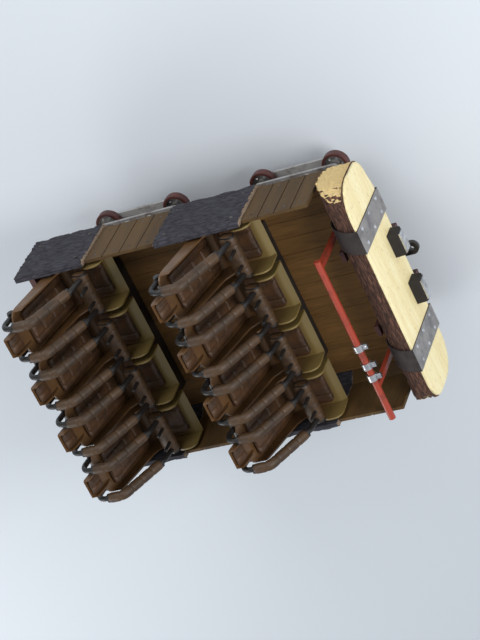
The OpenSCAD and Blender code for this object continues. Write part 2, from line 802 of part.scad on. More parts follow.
// An over-the-shoulder lap bar: two hubs, two bent arms with padded sleeves, the padded lap bar, two grips
module restraint(r, y) {
    bend = 85;
    grip_y = 70;
    hub_r = stub_d / 2 + 13;
    lap_half = arm_y + 40;
    path = [
        [-pivot_back, pivot_h + 15], [-pivot_back - 30, arch_h], [10, arch_h],
        [lap_x - 35, lap_h + 170], [lap_x, lap_h]
    ];
    sleeve_path = [path[2] - [140, 0], path[2], path[2] + 0.93 * (path[3] - path[2])];
    color("#202024") at_row(r) translate([0, y, 0]) difference() {
        union() {
            for (s = [-1, 1]) {
                on_side(s) bar_y(-pivot_back, pivot_h, hub_r, hub_in, arm_y + hub_out);
                translate([0, s * arm_y, 0]) {
                    bent_tube(path, bend, bar_d / 2);
                    bent_tube(sleeve_path, bend, sleeve_d / 2);
                }
            }
            along_y(-lap_half, lap_half)
                slot_outline([lap_x - 50, lap_h - 12], [lap_x, lap_h], lap_pad_d / 2);
            for (s = [-1, 1]) translate([lap_x + 10, s * grip_y, lap_h]) rotate_extrude() polygon([
                [0, 0], [grip_d / 2, 0], [grip_d / 2, grip_l - 10], [grip_d / 2 - 3, grip_l - 3], [0, grip_l]
            ]);
        }
        bar_y(-pivot_back, pivot_h, stub_d / 2 + bearing_fit, -arm_y - hub_out - 1, arm_y + hub_out + 1);
    }
}

long_beams();
cross_beams();
bogie_axles();
nose_mounts();
floor_plate();
brake_fin();
bumper_blocks();
bumper_faces();
couplers();
log_bark();
log_face();
log_straps();
nose_rail();
rail_clamps();
rear_panel();
dark_panels(1);  // dark_panels_left
dark_panels(-1);  // dark_panels_right
timber_panels(1);  // timber_panels_left
timber_panels(-1);  // timber_panels_right
for (r = [0, 1]) {
    seat_frame(r);
    seat_shells(r);
    seat_cushions(r);
    for (i = [0:3])
        restraint(r, seat_y[i]);
}
for (c = CORNERS) {
    carrier(c);
    stop_wheel(c);
    for (p = PAIR) {
        road_wheel(c, p);
        side_wheel(c, p);
    }
}
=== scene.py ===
# %% [markdown]
# # A timber-clad roller coaster car
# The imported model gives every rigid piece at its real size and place. This lesson dresses it: each piece
# gets the finish of the real material, and the soft and rough-hewn pieces are modelled here, round the
# solids that carry them. Everything is in metres, with +X forwards, +Y to the left and +Z up.

# %% Load the frame
import math

import bmesh
import bpy
from mathutils import Matrix, Vector, noise


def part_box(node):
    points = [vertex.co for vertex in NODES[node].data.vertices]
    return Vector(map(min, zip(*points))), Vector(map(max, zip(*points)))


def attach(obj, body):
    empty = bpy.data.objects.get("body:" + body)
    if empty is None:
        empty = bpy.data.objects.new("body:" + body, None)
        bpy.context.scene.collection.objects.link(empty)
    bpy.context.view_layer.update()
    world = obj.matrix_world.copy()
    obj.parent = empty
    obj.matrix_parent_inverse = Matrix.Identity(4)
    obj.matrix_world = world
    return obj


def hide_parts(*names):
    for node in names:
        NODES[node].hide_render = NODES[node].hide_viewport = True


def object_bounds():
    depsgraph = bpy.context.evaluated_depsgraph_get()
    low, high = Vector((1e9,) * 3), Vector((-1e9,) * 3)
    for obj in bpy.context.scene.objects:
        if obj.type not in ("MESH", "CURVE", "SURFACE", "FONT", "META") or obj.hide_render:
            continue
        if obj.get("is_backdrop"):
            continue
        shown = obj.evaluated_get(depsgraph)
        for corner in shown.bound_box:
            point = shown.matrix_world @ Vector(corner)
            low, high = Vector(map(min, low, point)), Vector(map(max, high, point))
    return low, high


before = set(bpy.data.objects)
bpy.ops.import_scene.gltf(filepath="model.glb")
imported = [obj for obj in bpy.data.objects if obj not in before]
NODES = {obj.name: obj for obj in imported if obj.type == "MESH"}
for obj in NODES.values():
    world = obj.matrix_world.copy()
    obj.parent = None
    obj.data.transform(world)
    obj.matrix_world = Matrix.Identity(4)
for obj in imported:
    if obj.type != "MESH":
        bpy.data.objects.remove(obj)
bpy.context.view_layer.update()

STILL = Matrix.Identity(4)
scene = bpy.context.scene

# %% [markdown]
# ## Camera
# The photograph looks at the car's open top, its nose and its left side, while the car hangs upside down.
# The camera takes the same direction in the car's own frame, and the same roll, so the seats' tops point
# down and to the left. It could be aimed by a constraint, but that gives no roll. So its three axes are
# written out: the picture's right, its up, and the way back to the camera.

# %% Camera
PICTURE_RIGHT = Vector((0.873, -0.408, -0.267))
PICTURE_UP = Vector((0.204, 0.803, -0.560))
TO_CAMERA = Vector((0.443, 0.434, 0.784))
CAMERA_DISTANCE = 18.0
AIM = Vector((0.02, 0.0, 0.93))

camera_data = bpy.data.cameras.new("camera")
camera_data.lens = 128
camera_data.sensor_width = 36
camera_data.clip_end = 200
camera = bpy.data.objects.new("camera", camera_data)
scene.collection.objects.link(camera)
turn = Matrix((PICTURE_RIGHT, PICTURE_UP, TO_CAMERA)).transposed()
camera.matrix_world = Matrix.Translation(AIM + TO_CAMERA * CAMERA_DISTANCE) @ turn.to_4x4()
scene.camera = camera

# %% [markdown]
# ## Nodes and colours
# A material is a small graph of nodes, which could also be drawn by hand in the shader editor. Here one
# function adds a node: it sets the node's values, and links its inputs to what other nodes give. Colours are
# written as on a screen, in sRGB, and one function turns them to the linear values that the shader needs.

# %% Node and colour helpers
def linear(code):
    """An sRGB colour such as "#f3e7b4" as the linear colour, with its alpha, that a shader takes."""
    parts = [int(code[i:i + 2], 16) / 255 for i in (1, 3, 5)]
    return tuple(p / 12.92 if p <= 0.04045 else ((p + 0.055) / 1.055) ** 2.4 for p in parts) + (1.0,)


def add(material, kind, inputs=None, stops=(), **settings):
    """Adds a node with its settings. inputs maps an input's name or number to a value or to another node's
    output, and stops are the places and colours of a colour ramp."""
    node = material.node_tree.nodes.new(kind)
    for name, value in settings.items():
        setattr(node, name, value)
    for key, value in (inputs or {}).items():
        if isinstance(value, bpy.types.NodeSocket):
            material.node_tree.links.new(value, node.inputs[key])
        else:
            node.inputs[key].default_value = value
    for i, (place, colour) in enumerate(stops):
        node.color_ramp.elements[i].position = place
        node.color_ramp.elements[i].color = linear(colour)
    return node


def new_material(name):
    """An empty material with its output node, and the place in the piece's own space."""
    material = bpy.data.materials.new(name)
    material.use_nodes = True
    material.node_tree.nodes.clear()
    output = add(material, "ShaderNodeOutputMaterial")
    return material, output, add(material, "ShaderNodeTexCoord").outputs["Object"]


def finish_surface(material, output, colour, roughness, height, depth_mm, **plain):
    """Joins colour, roughness and a height pattern into one shader. plain are sockets that are the same all
    over, such as Coat_Weight."""
    bump = add(material, "ShaderNodeBump", {"Height": height, "Strength": 1.0, "Distance": depth_mm / 1000})
    shader = add(material, "ShaderNodeBsdfPrincipled", {
        "Base Color": colour, "Roughness": roughness, "Normal": bump.outputs[0]})
    for name, value in plain.items():
        shader.inputs[name.replace("_", " ")].default_value = value
    material.node_tree.links.new(shader.outputs[0], output.inputs["Surface"])
    return material

# %% [markdown]
# ## Sawn boards
# Four kinds of board show on the car. The log's face is fresh sawn spruce under clear varnish, pale and a
# little glossy. The side boards and the floor are larch under a brown stain, and the rear board has a
# red-brown stain, all matt. A picture of wood would need unwrapping and would repeat, so the grain is a
# noise that is stretched along the board. Real growth rings are 3 to 5 mm apart, and they are drawn 12 mm
# apart so that they show. Knots are stretched less, and so are the specks of dirt on the log's face.

# %% Sawn boards
BOARD_IOR = 1.52
GRAIN_MM = 12
GRAIN_ALONG = 1 / 14
KNOT_ALONG = 0.3


def wood(name, along, pale, deep, dark, knots, rough=0.62, specks=0.0, depth_mm=1.2):
    """Wood with its grain along an axis: growth lines, broad bands, knots, and specks of dirt."""
    material, output, place = new_material(name)
    grain = add(material, "ShaderNodeMapping", {
        "Vector": place, "Scale": [GRAIN_ALONG if axis == along else 1.0 for axis in "XYZ"]}).outputs[0]
    lines = add(material, "ShaderNodeTexNoise", {
        "Vector": grain, "Scale": 1000 / GRAIN_MM, "Detail": 5, "Roughness": 0.6,
        "Distortion": 0.4}).outputs[0]
    bands = add(material, "ShaderNodeTexNoise", {"Vector": grain, "Scale": 9, "Detail": 3}).outputs[0]
    fine = add(material, "ShaderNodeValToRGB", {0: lines}, [(0.36, deep), (0.60, pale)]).outputs[0]
    broad = add(material, "ShaderNodeValToRGB", {0: bands}, [(0.35, deep), (0.65, pale)]).outputs[0]
    colour = add(material, "ShaderNodeMix", {0: 0.5, 6: fine, 7: broad}, data_type="RGBA").outputs[2]
    knot_place = add(material, "ShaderNodeMapping", {
        "Vector": place, "Scale": [KNOT_ALONG if axis == along else 1.0 for axis in "XYZ"]}).outputs[0]
    spots = add(material, "ShaderNodeTexVoronoi", {"Vector": knot_place, "Scale": knots}).outputs["Distance"]
    knot = add(material, "ShaderNodeMapRange", {
        "Value": spots, "From Min": 0.05, "From Max": 0.12, "To Min": 1.0, "To Max": 0.0}).outputs[0]
    colour = add(material, "ShaderNodeMix", {
        0: knot, 6: colour, 7: linear(dark)}, data_type="RGBA").outputs[2]
    if specks:
        dots = add(material, "ShaderNodeTexNoise", {
            "Vector": knot_place, "Scale": 60, "Detail": 5}).outputs[0]
        dirt = add(material, "ShaderNodeMapRange", {
            "Value": dots, "From Min": 0.60, "From Max": 0.74, "To Max": specks}).outputs[0]
        colour = add(material, "ShaderNodeMix", {
            0: dirt, 6: colour, 7: linear(dark)}, data_type="RGBA").outputs[2]
    roughness = add(material, "ShaderNodeMapRange", {
        "Value": lines, "To Min": rough - 0.1, "To Max": rough + 0.14}).outputs[0]
    return finish_surface(material, output, colour, roughness, lines, depth_mm, IOR=BOARD_IOR)


sawn_spruce = wood("varnished_spruce", "Y", "#f8ebbd", "#e9d498", "#a5794a", knots=2.6, rough=0.5,
                   specks=0.6, depth_mm=0.6)
larch_boards = wood("ochre_stained_larch", "Z", "#5f441a", "#412d10", "#25190a", knots=3.2, rough=0.72)
floor_boards = wood("worn_larch_floor", "X", "#8c6432", "#654721", "#322211", knots=2.4, rough=0.68)
red_board = wood("red_stained_board", "Y", "#6a3b36", "#4b2926", "#2a1513", knots=2.0)

# %% [markdown]
# ## Bark and slabs
# Spruce bark is corky plates with dark cracks between them, longer along the log than across it, and it
# takes no shine. The dark slabs of the walls are the outer cuts of such a log, stained nearly black, with
# their sawn ends left bare. The large relief is in the meshes made below, so here the pattern only colours
# the surface and adds what is finer than their points. The ends could be a second material on their faces,
# but its edge would be straight. So a sawn end is told by the surface's normal, made ragged by noise as a
# splintered edge is. The log's own ends show its growth rings.

# %% Bark and slabs
BARK_ALONG = 0.2
PLATE_MM = 22
RING_MM = 11
LOG_PITH = (1.36, 0.0, 0.88)


def rough_bark(name, along, plate, crack, end, end_deep, pith=None):
    """Bark with plates stretched along an axis, and pale ends where the surface faces that axis. pith is a
    point on the log's middle line, which the growth rings of its ends go round."""
    material, output, place = new_material(name)
    grain = add(material, "ShaderNodeMapping", {
        "Vector": place, "Scale": [BARK_ALONG if axis == along else 1.0 for axis in "XYZ"]}).outputs[0]
    cells = add(material, "ShaderNodeTexVoronoi", {"Vector": grain, "Scale": 1000 / PLATE_MM},
                feature="DISTANCE_TO_EDGE").outputs["Distance"]
    cork = add(material, "ShaderNodeTexNoise", {
        "Vector": grain, "Scale": 55, "Detail": 9, "Roughness": 0.7}).outputs[0]
    edge = add(material, "ShaderNodeMapRange", {
        "Value": cells, "From Max": 0.22, "To Min": 0.35}).outputs[0]
    relief = add(material, "ShaderNodeMath", {0: edge, 1: cork}, operation="MULTIPLY").outputs[0]
    colour = add(material, "ShaderNodeValToRGB", {0: relief}, [(0.12, crack), (0.58, plate)]).outputs[0]
    normal = add(material, "ShaderNodeNewGeometry").outputs["Normal"]
    facing = add(material, "ShaderNodeSeparateXYZ", {0: normal}).outputs[along]
    flat = add(material, "ShaderNodeMath", {0: facing}, operation="ABSOLUTE").outputs[0]
    ragged = add(material, "ShaderNodeMath", {0: cork, 1: 0.5, 2: flat}, operation="MULTIPLY_ADD").outputs[0]
    bare = add(material, "ShaderNodeMapRange", {
        "Value": ragged, "From Min": 0.92, "From Max": 1.0}).outputs[0]
    rings = cork
    if pith:
        off = add(material, "ShaderNodeVectorMath", {0: place, 1: pith}, operation="SUBTRACT").outputs[0]
        across = add(material, "ShaderNodeVectorMath", {
            0: off, 1: [0.0 if axis == along else 1.0 for axis in "XYZ"]}, operation="MULTIPLY").outputs[0]
        away = add(material, "ShaderNodeVectorMath", {0: across}, operation="LENGTH").outputs["Value"]
        turns = add(material, "ShaderNodeMath", {
            0: away, 1: math.tau * 1000 / RING_MM, 2: cork}, operation="MULTIPLY_ADD").outputs[0]
        wave = add(material, "ShaderNodeMath", {0: turns}, operation="SINE").outputs[0]
        rings = add(material, "ShaderNodeMapRange", {"Value": wave, "From Min": -1.0}).outputs[0]
    sawn = add(material, "ShaderNodeValToRGB", {0: rings}, [(0.3, end_deep), (0.7, end)]).outputs[0]
    colour = add(material, "ShaderNodeMix", {0: bare, 6: colour, 7: sawn}, data_type="RGBA").outputs[2]
    roughness = add(material, "ShaderNodeMapRange", {
        "Value": cork, "To Min": 0.8, "To Max": 1.0}).outputs[0]
    return finish_surface(material, output, colour, roughness, relief, 3.5, IOR=BOARD_IOR)


bark = rough_bark("spruce_bark", "Y", "#6e4a38", "#281812", "#ecd59b", "#c9a468", pith=LOG_PITH)
slab_wood = rough_bark("black_stained_slab", "X", "#44414a", "#1e1c20", "#a08b74", "#5f4a38")

# %% [markdown]
# ## Paint and metal
# Sprayed paint on steel keeps a little orange peel from the gun, which breaks up its gloss, and dirt lies on
# it in soft patches. Zinc plate is bright and smooth, oiled axle steel is dark, and the cast hubs are dull
# and pitted. Bare metals differ mostly in colour and in how rough they are, so one function with a few
# values makes them all, in place of a graph for each.

# %% Paint and metal
def paint(name, colour, worn, rough=0.42, wear=0.56, peel_mm=0.25, **plain):
    """Sprayed paint with orange peel and soft patches of dirt."""
    material, output, place = new_material(name)
    peel = add(material, "ShaderNodeTexNoise", {"Vector": place, "Scale": 260, "Detail": 2}).outputs[0]
    dirt = add(material, "ShaderNodeTexNoise", {
        "Vector": place, "Scale": 7, "Detail": 9, "Roughness": 0.68}).outputs[0]
    tint = add(material, "ShaderNodeValToRGB", {0: dirt}, [
        (wear - 0.06, colour), (wear + 0.12, worn)]).outputs[0]
    roughness = add(material, "ShaderNodeMapRange", {
        "Value": dirt, "To Min": rough - 0.12, "To Max": rough + 0.25}).outputs[0]
    return finish_surface(material, output, tint, roughness, peel, peel_mm, **plain)


def metal(name, colour, dull, rough=0.32, grain=180, depth_mm=0.15):
    """Bare metal with a fine grain and duller patches."""
    material, output, place = new_material(name)
    fine = add(material, "ShaderNodeTexNoise", {"Vector": place, "Scale": grain, "Detail": 4}).outputs[0]
    patch = add(material, "ShaderNodeTexNoise", {"Vector": place, "Scale": 12, "Detail": 6}).outputs[0]
    tint = add(material, "ShaderNodeValToRGB", {0: patch}, [(0.42, colour), (0.68, dull)]).outputs[0]
    roughness = add(material, "ShaderNodeMapRange", {
        "Value": patch, "To Min": rough - 0.08, "To Max": rough + 0.2}).outputs[0]
    return finish_surface(material, output, tint, roughness, fine, depth_mm, Metallic=1.0)


chassis_paint = paint("oxide_red_chassis_paint", "#4e2c29", "#2f1d1b", rough=0.5)
frame_paint = paint("black_satin_paint", "#2c2928", "#1d1a19", rough=0.45)
red_enamel = paint("orange_red_enamel", "#a63f2a", "#7d3526", rough=0.4, Coat_Weight=0.2)
silver_paint = paint("aluminium_paint", "#a9a6a3", "#6f6560", rough=0.4, wear=0.54)
strap_paint = paint("grey_painted_strap", "#8b8887", "#6d6b6c", rough=0.62, wear=0.5, peel_mm=0.8)
# Painted shade: a dark grey-brown for the straps' wrap round the log, which faces away from the light.
strap_shade_paint = paint("strap_painted_shade", "#3a3230", "#2a2220", rough=0.7, wear=0.5, peel_mm=0.8)
bright_steel = metal("bright_zinc_plate", "#d5d6d8", "#a3a3a6", rough=0.3)
axle_steel = metal("oiled_steel", "#6f6b68", "#3c3835", rough=0.42)
hub_alloy = metal("cast_aluminium_hub", "#a7a5a2", "#6d6864", rough=0.45, grain=90, depth_mm=0.4)
fin_alloy = metal("rolled_alloy_plate", "#b9b4aa", "#8a857c", rough=0.4)

# %% [markdown]
# ## Plastics, rubber and vinyl
# The cushions and the lap bars' padding have a grained vinyl skin, drawn as cells about 3 mm across. The
# wheels' treads are cast polyurethane, smooth and dark red. The shells are glass-fibre with a gel coat:
# smooth, with a soft gloss and faint mottling. Their fronts get a painted highlight, a paler colour that
# stands for the light falling on them. That could be painted on each seat, but one material does for all
# eight: the painted highlight fades with the distance along a row, which repeats every 1.33 m along the car.

# %% Plastics, rubber and vinyl
ROW_X = {"front": 0.140, "rear": -1.190}
ROW_BACK = 0.45
# Where along a row the painted highlight on the seat fronts begins and where it is fullest.
HIGHLIGHT_FROM = 0.20
HIGHLIGHT_TO = 0.42


def moulded(name, colour, mottle, rough, cell_mm=3.0, depth_mm=0.3, front_highlight=None, **plain):
    """A moulded or cast surface: fine cells for the grain, mottled colour, and paler fronts as a painted
    highlight if that colour is given. The seats of a row reach from ROW_BACK behind their row's place."""
    material, output, place = new_material(name)
    cells = add(material, "ShaderNodeTexVoronoi", {"Vector": place, "Scale": 1000 / cell_mm},
                feature="SMOOTH_F1").outputs["Distance"]
    cloud = add(material, "ShaderNodeTexNoise", {"Vector": place, "Scale": 10, "Detail": 6}).outputs[0]
    tint = add(material, "ShaderNodeValToRGB", {0: cloud}, [(0.38, colour), (0.7, mottle)]).outputs[0]
    # Painted highlight: the seat fronts turn paler, as if lit, fading in along each row.
    if front_highlight:
        along = add(material, "ShaderNodeSeparateXYZ", {0: place}).outputs["X"]
        row = add(material, "ShaderNodeMath", {
            0: along, 1: ROW_X["front"] - ROW_BACK, 2: ROW_X["rear"] - ROW_BACK}, operation="WRAP").outputs[0]
        highlight_share = add(material, "ShaderNodeMapRange", {
            "Value": row, "From Min": ROW_X["rear"] + HIGHLIGHT_FROM, "From Max": ROW_X["rear"] + HIGHLIGHT_TO,
            "To Max": 0.9}).outputs[0]
        tint = add(material, "ShaderNodeMix", {
            0: highlight_share, 6: tint, 7: linear(front_highlight)}, data_type="RGBA").outputs[2]
    roughness = add(material, "ShaderNodeMapRange", {
        "Value": cloud, "To Min": rough - 0.08, "To Max": rough + 0.12}).outputs[0]
    return finish_surface(material, output, tint, roughness, cells, depth_mm, **plain)


# The paler colour given for the seat fronts is a painted highlight.
gel_coat = moulded("gel_coated_glass_fibre", "#68492a", "#5b4024", 0.45, cell_mm=7, depth_mm=0.15,
                   front_highlight="#83703f", Coat_Weight=0.2)
cushion_vinyl = moulded("brown_grained_vinyl", "#543820", "#3a2717", 0.5, depth_mm=0.5)
collar_vinyl = moulded("dark_brown_collar_vinyl", "#523a22", "#382818", 0.5, depth_mm=0.5)
bar_skin = moulded("black_moulded_skin", "#221e1c", "#171413", 0.42, cell_mm=4, depth_mm=0.4)
polyurethane = moulded("cast_polyurethane", "#5b2c24", "#43211d", 0.42, cell_mm=9, depth_mm=0.2)
block_rubber = moulded("moulded_rubber", "#26211f", "#1b1817", 0.75, cell_mm=5)

# %% [markdown]
# ## Dressing the solids
# Each node of the imported model takes one finish, and its curved faces are shaded smooth up to 30 degrees. No
# real edge is quite sharp, and a worn or folded one catches the light. Cutting that into the meshes would
# change the solids, so a bevel modifier does it on the folded, sawn, moulded and machined pieces. A wheel
# has two finishes: its tread is polyurethane, and every face of it inside the rim is cast aluminium. So has
# a strap: its front is painted grey, and its wrap round the log, which faces away from the light, is a dark
# grey-brown that is painted shade.

# %% Dress the solids
FINISHES = {
    "long_beams": chassis_paint, "cross_beams": chassis_paint, "nose_mounts": chassis_paint,
    "bogie_axles": axle_steel, "floor_plate": floor_boards, "brake_fin": fin_alloy,
    "bumper_blocks": block_rubber, "bumper_faces": bright_steel, "couplers": axle_steel,
    "log_bark": bark, "log_face": sawn_spruce, "log_straps": strap_paint,
    "nose_rail": red_enamel, "rail_clamps": bright_steel, "rear_panel": red_board,
    "dark_panels": slab_wood, "timber_panels": larch_boards, "seat_frame": frame_paint,
    "seat_shells": gel_coat, "seat_cushions": cushion_vinyl, "carrier": silver_paint,
    "road_wheel": polyurethane, "side_wheel": polyurethane, "stop_wheel": polyurethane,
    "restraint": bar_skin,
}
BEVEL_MM = {
    "long_beams": 5, "cross_beams": 4, "nose_mounts": 4, "floor_plate": 1.5, "bumper_blocks": 6,
    "bumper_faces": 2, "couplers": 3, "log_straps": 1.5, "nose_rail": 3, "rail_clamps": 2, "rear_panel": 3,
    "timber_panels": 2, "carrier": 2.5, "bogie_axles": 2, "brake_fin": 2, "seat_frame": 4, "seat_shells": 4,
}
SMOOTH_ANGLE = math.radians(30)
BEVEL_ANGLE = math.radians(40)
TREAD_T = 0.024
FRONT_FACING = 0.7


def thin_axis(size):
    """Which axis a wheel turns about: the one that it is thinnest along."""
    return min(range(3), key=lambda i: size[i])


def two_finishes(node, second, takes_second):
    """Gives a node a second material on the faces that takes_second(face) picks."""
    node.data.materials.append(second)
    for face in node.data.polygons:
        face.material_index = int(takes_second(face))


for name, node in NODES.items():
    node.data.materials.clear()
    node.data.materials.append(next(FINISHES[key] for key in FINISHES if name.startswith(key)))
    node.data.shade_smooth()
    node.data.set_sharp_from_angle(angle=SMOOTH_ANGLE)
    if "_wheel" in name:
        low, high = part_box(name)
        middle, axis = (low + high) / 2, thin_axis(high - low)
        rim = (high - low)[(axis + 1) % 3] / 2 - TREAD_T
        beside = Vector([0.0 if i == axis else 1.0 for i in range(3)])
        two_finishes(node, hub_alloy, lambda face: ((face.center - middle) * beside).length < rim)
    # Painted shade on the faces of the straps that don't face forwards.
    if name == "log_straps":
        two_finishes(node, strap_shade_paint, lambda face: face.normal.x < FRONT_FACING)
    for key, width in BEVEL_MM.items():
        if name.startswith(key):
            bevel = node.modifiers.new("eased edges", "BEVEL")
            bevel.width = width / 1000
            bevel.segments = 2
            bevel.limit_method = "ANGLE"
            bevel.angle_limit = BEVEL_ANGLE
            bevel.harden_normals = True
print("finishes:", len(FINISHES))

# %% [markdown]
# ## Making pieces
# New pieces are meshes built from points and faces. Blender's own shapes could be added and joined, but that
# depends on what is selected and leaves many objects. Here a part is a pair of lists, its points and its
# faces, and parts are moved by a matrix and joined, so that a dozen bolts are one mesh. Each piece rides on
# the body that carries it.

# %% Mesh helpers
def joined(name, parts):
    """One mesh from parts, each given as (points, faces, matrix)."""
    points, faces = [], []
    for part_points, part_faces, matrix in parts:
        start = len(points)
        points += [matrix @ Vector(p) for p in part_points]
        faces += [[start + i for i in face] for face in part_faces]
    mesh = bpy.data.meshes.new(name)
    mesh.from_pydata(points, [], faces)
    return mesh


def lofted(rings, closed=False):
    """A solid through rings of points, capped at its two ends, or joined end to start if closed."""
    size = len(rings[0])
    points = [p for ring in rings for p in ring]
    faces = []
    for row in range(len(rings) if closed else len(rings) - 1):
        low, high = row * size, (row + 1) % len(rings) * size
        faces += [(low + i, low + (i + 1) % size, high + (i + 1) % size, high + i) for i in range(size)]
    if not closed:
        faces += [tuple(reversed(range(size))), tuple(range(len(points) - size, len(points)))]
    return points, faces


def revolved(profile, steps):
    """A closed solid about Z, from a profile of (radius, height) from its low end to its high one."""
    turns = [math.tau * i / steps for i in range(steps)]
    return lofted([[(r * math.cos(a), r * math.sin(a), h) for a in turns] for r, h in profile])


def standing(place, normal, spin=0.0):
    """The matrix that stands a part, drawn along Z, at a place with its top towards normal."""
    turned = Vector(normal).to_track_quat("Z", "Y").to_matrix().to_4x4()
    return Matrix.Translation(place) @ turned @ Matrix.Rotation(spin, 4, "Z")


def piece(name, mesh, finish, body, matrix=STILL):
    """Links a mesh as a piece of the car with its finish and the body that it rides on."""
    made = bpy.data.objects.new(name, mesh)
    scene.collection.objects.link(made)
    if not mesh.materials:
        mesh.materials.append(finish)
    mesh.shade_smooth()
    made.matrix_world = matrix
    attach(made, body)
    return made


def applied(made):
    """Replaces an object's mesh by what its modifiers make of it, and takes them off."""
    bpy.context.view_layer.update()
    graph = bpy.context.evaluated_depsgraph_get()
    mesh = bpy.data.meshes.new_from_object(made.evaluated_get(graph), depsgraph=graph)
    made.modifiers.clear()
    made.data = mesh


def remeshed(name, mesh, voxel):
    """An object with a fine, even copy of a closed mesh."""
    made = bpy.data.objects.new(name, mesh)
    scene.collection.objects.link(made)
    remesh = made.modifiers.new("fine", "REMESH")
    remesh.mode = "VOXEL"
    remesh.voxel_size = voxel
    applied(made)
    return made

# %% [markdown]
# ## Rough wood
# The log and the dark slabs are hewn, so no face of them is flat. They could be sculpted, or displaced by a
# modifier, but their ends, edges and flats each need a treatment of their own. So each gets a fine copy of
# its solid, made by a voxel remesh, and a function moves every point by its place and its normal: long
# ridges and cracks along the log, and a wavy cut edge. The points move inwards, apart from a millimetre or
# two on a high ridge, so the piece keeps to the room that the solid takes.

# %% Rough wood
LOG_VOXEL = 0.009
FACE_VOXEL = 0.008
SLAB_VOXEL = 0.010
RIDGE_DEPTH = 0.015
SWELL_DEPTH = 0.008
HACK_DEPTH = 0.016
SAW_DEPTH = 0.001
SAW_PITCH = 0.021
SPLINTER_DEPTH = 0.012
TOP_DEPTH = 0.012
PLATE_SIZE = 0.042
PLATE_STRETCH = 4.0
CRACK_STEEP = 2.6


def ridges(place, along):
    """0 in a crack and 1 on a plate of bark, with the plates stretched along an axis."""
    spot = place / PLATE_SIZE
    spot["XYZ".index(along)] /= PLATE_STRETCH
    near, far = noise.voronoi(spot)[0][:2]
    crack = min(1.0, (far - near) * CRACK_STEEP)
    return crack * (0.7 + 0.3 * noise.fractal(spot * 2.4, 0.8, 2.1, 3))


def log_move(place, normal):
    """Bark on a trunk that is slightly out of true. The plane behind the sawn face stays where it is."""
    swell = 0.5 + 0.5 * noise.noise(place * 2.3)
    depth = RIDGE_DEPTH * (1 - ridges(place, "Y")) + SWELL_DEPTH * swell
    return -depth * (1 - max(0.0, normal.x)) * normal


def face_move(place, normal):
    """Sawn face: shallow saw marks on the flat, and an edge that is hacked in."""
    flat = abs(normal.x)
    wave = math.sin(place.y * math.tau / SAW_PITCH + 2.5 * noise.noise(place * 5))
    saw = SAW_DEPTH * (0.5 + 0.5 * wave)
    hack = HACK_DEPTH * min(1.0, abs(noise.fractal(place * 9, 1.0, 2.0, 3)))
    return -normal * (saw * flat + hack * (1 - flat))


def slab_move(place, normal):
    """Outer cut of a log: ridges along the car on the outside, a planed inside, and splintered ends."""
    outside = max(0.0, normal.y * (1 if place.y > 0 else -1))
    ridge = RIDGE_DEPTH * outside * (1 - ridges(place, "X"))
    splinter = 0.5 + 0.5 * noise.noise(Vector((place.x * 8, place.y * 60, place.z * 30)))
    wear = 0.5 + 0.5 * noise.noise(Vector((place.x * 14, place.y * 6, 0.0)))
    top = TOP_DEPTH * max(0.0, normal.z) * wear
    return -normal * (ridge + SPLINTER_DEPTH * splinter * abs(normal.x) + top)


def rough_copy(node, name, voxel, move, finish):
    """A fine copy of a node whose points are moved by move(place, normal), in place of that node."""
    fine = remeshed(name, NODES[node].data.copy(), voxel)
    mesh = fine.data
    bpy.data.objects.remove(fine)
    normals = [v.normal.copy() for v in mesh.vertices]
    for vertex, normal in zip(mesh.vertices, normals):
        vertex.co += move(vertex.co, normal)
    mesh.materials.clear()
    made = piece(name, mesh, finish, "car")
    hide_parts(node)
    print(name, len(mesh.polygons), "faces")


rough_copy("log_bark", "log_trunk", LOG_VOXEL, log_move, bark)
rough_copy("log_face", "log_sawn_face", FACE_VOXEL, face_move, sawn_spruce)
for side in ("left", "right"):
    rough_copy(f"dark_panels_{side}", f"dark_slabs_{side}", SLAB_VOXEL, slab_move, slab_wood)

# %% [markdown]
# ## Padding
# Foam pads in a sewn vinyl cover: the cover is tight, it crowns between its seams, and its sides pull in
# between its corners. A rounded box would look hard, so a cloth simulation gives the swell. Each kind of pad
# starts as a plain shape that is a little too small. It is remeshed finely and blown up as cloth, with each
# point's move capped. After that come the sewn channels, pulled down into the top, because a remesh would
# fill them. Each kind is made once and used on all eight seats.

# %% Pad maker
PAD_VOXEL = 0.006
PAD_SHRINK = 0.004
PAD_CAP = 0.008
PAD_PRESSURE = 4.0
PAD_FRAMES = 20
PAD_KEEP = 0.22
SEAM_WIDTH = 0.009


def blown_up(name, mesh):
    """A closed mesh remeshed and blown up as cloth, with one subdivision."""
    made = remeshed(name, mesh, PAD_VOXEL)
    before = [v.co.copy() for v in made.data.vertices]
    cloth = made.modifiers.new("cloth", "CLOTH")
    cloth.settings.use_pressure = True
    cloth.settings.uniform_pressure_force = PAD_PRESSURE
    cloth.settings.effector_weights.gravity = 0
    for number in range(1, PAD_FRAMES + 1):
        scene.frame_set(number)
    applied(made)
    scene.frame_set(1)
    for vertex, start in zip(made.data.vertices, before):
        move = vertex.co - start
        if move.length > PAD_CAP:
            vertex.co = start + move * (PAD_CAP / move.length)
    made.modifiers.new("smooth", "SUBSURF").levels = 1
    applied(made)
    return made


def thinned(made):
    """The mesh of a finished pad, with fewer faces where it is smooth."""
    made.modifiers.new("thin", "DECIMATE").ratio = PAD_KEEP
    applied(made)
    mesh = made.data
    bpy.data.objects.remove(made)
    return mesh


def seam_depth(gap):
    """How far a seam pulls at a gap from it: 1 on the seam, and nearly 0 two widths away."""
    return math.exp(-(gap / SEAM_WIDTH) ** 2)


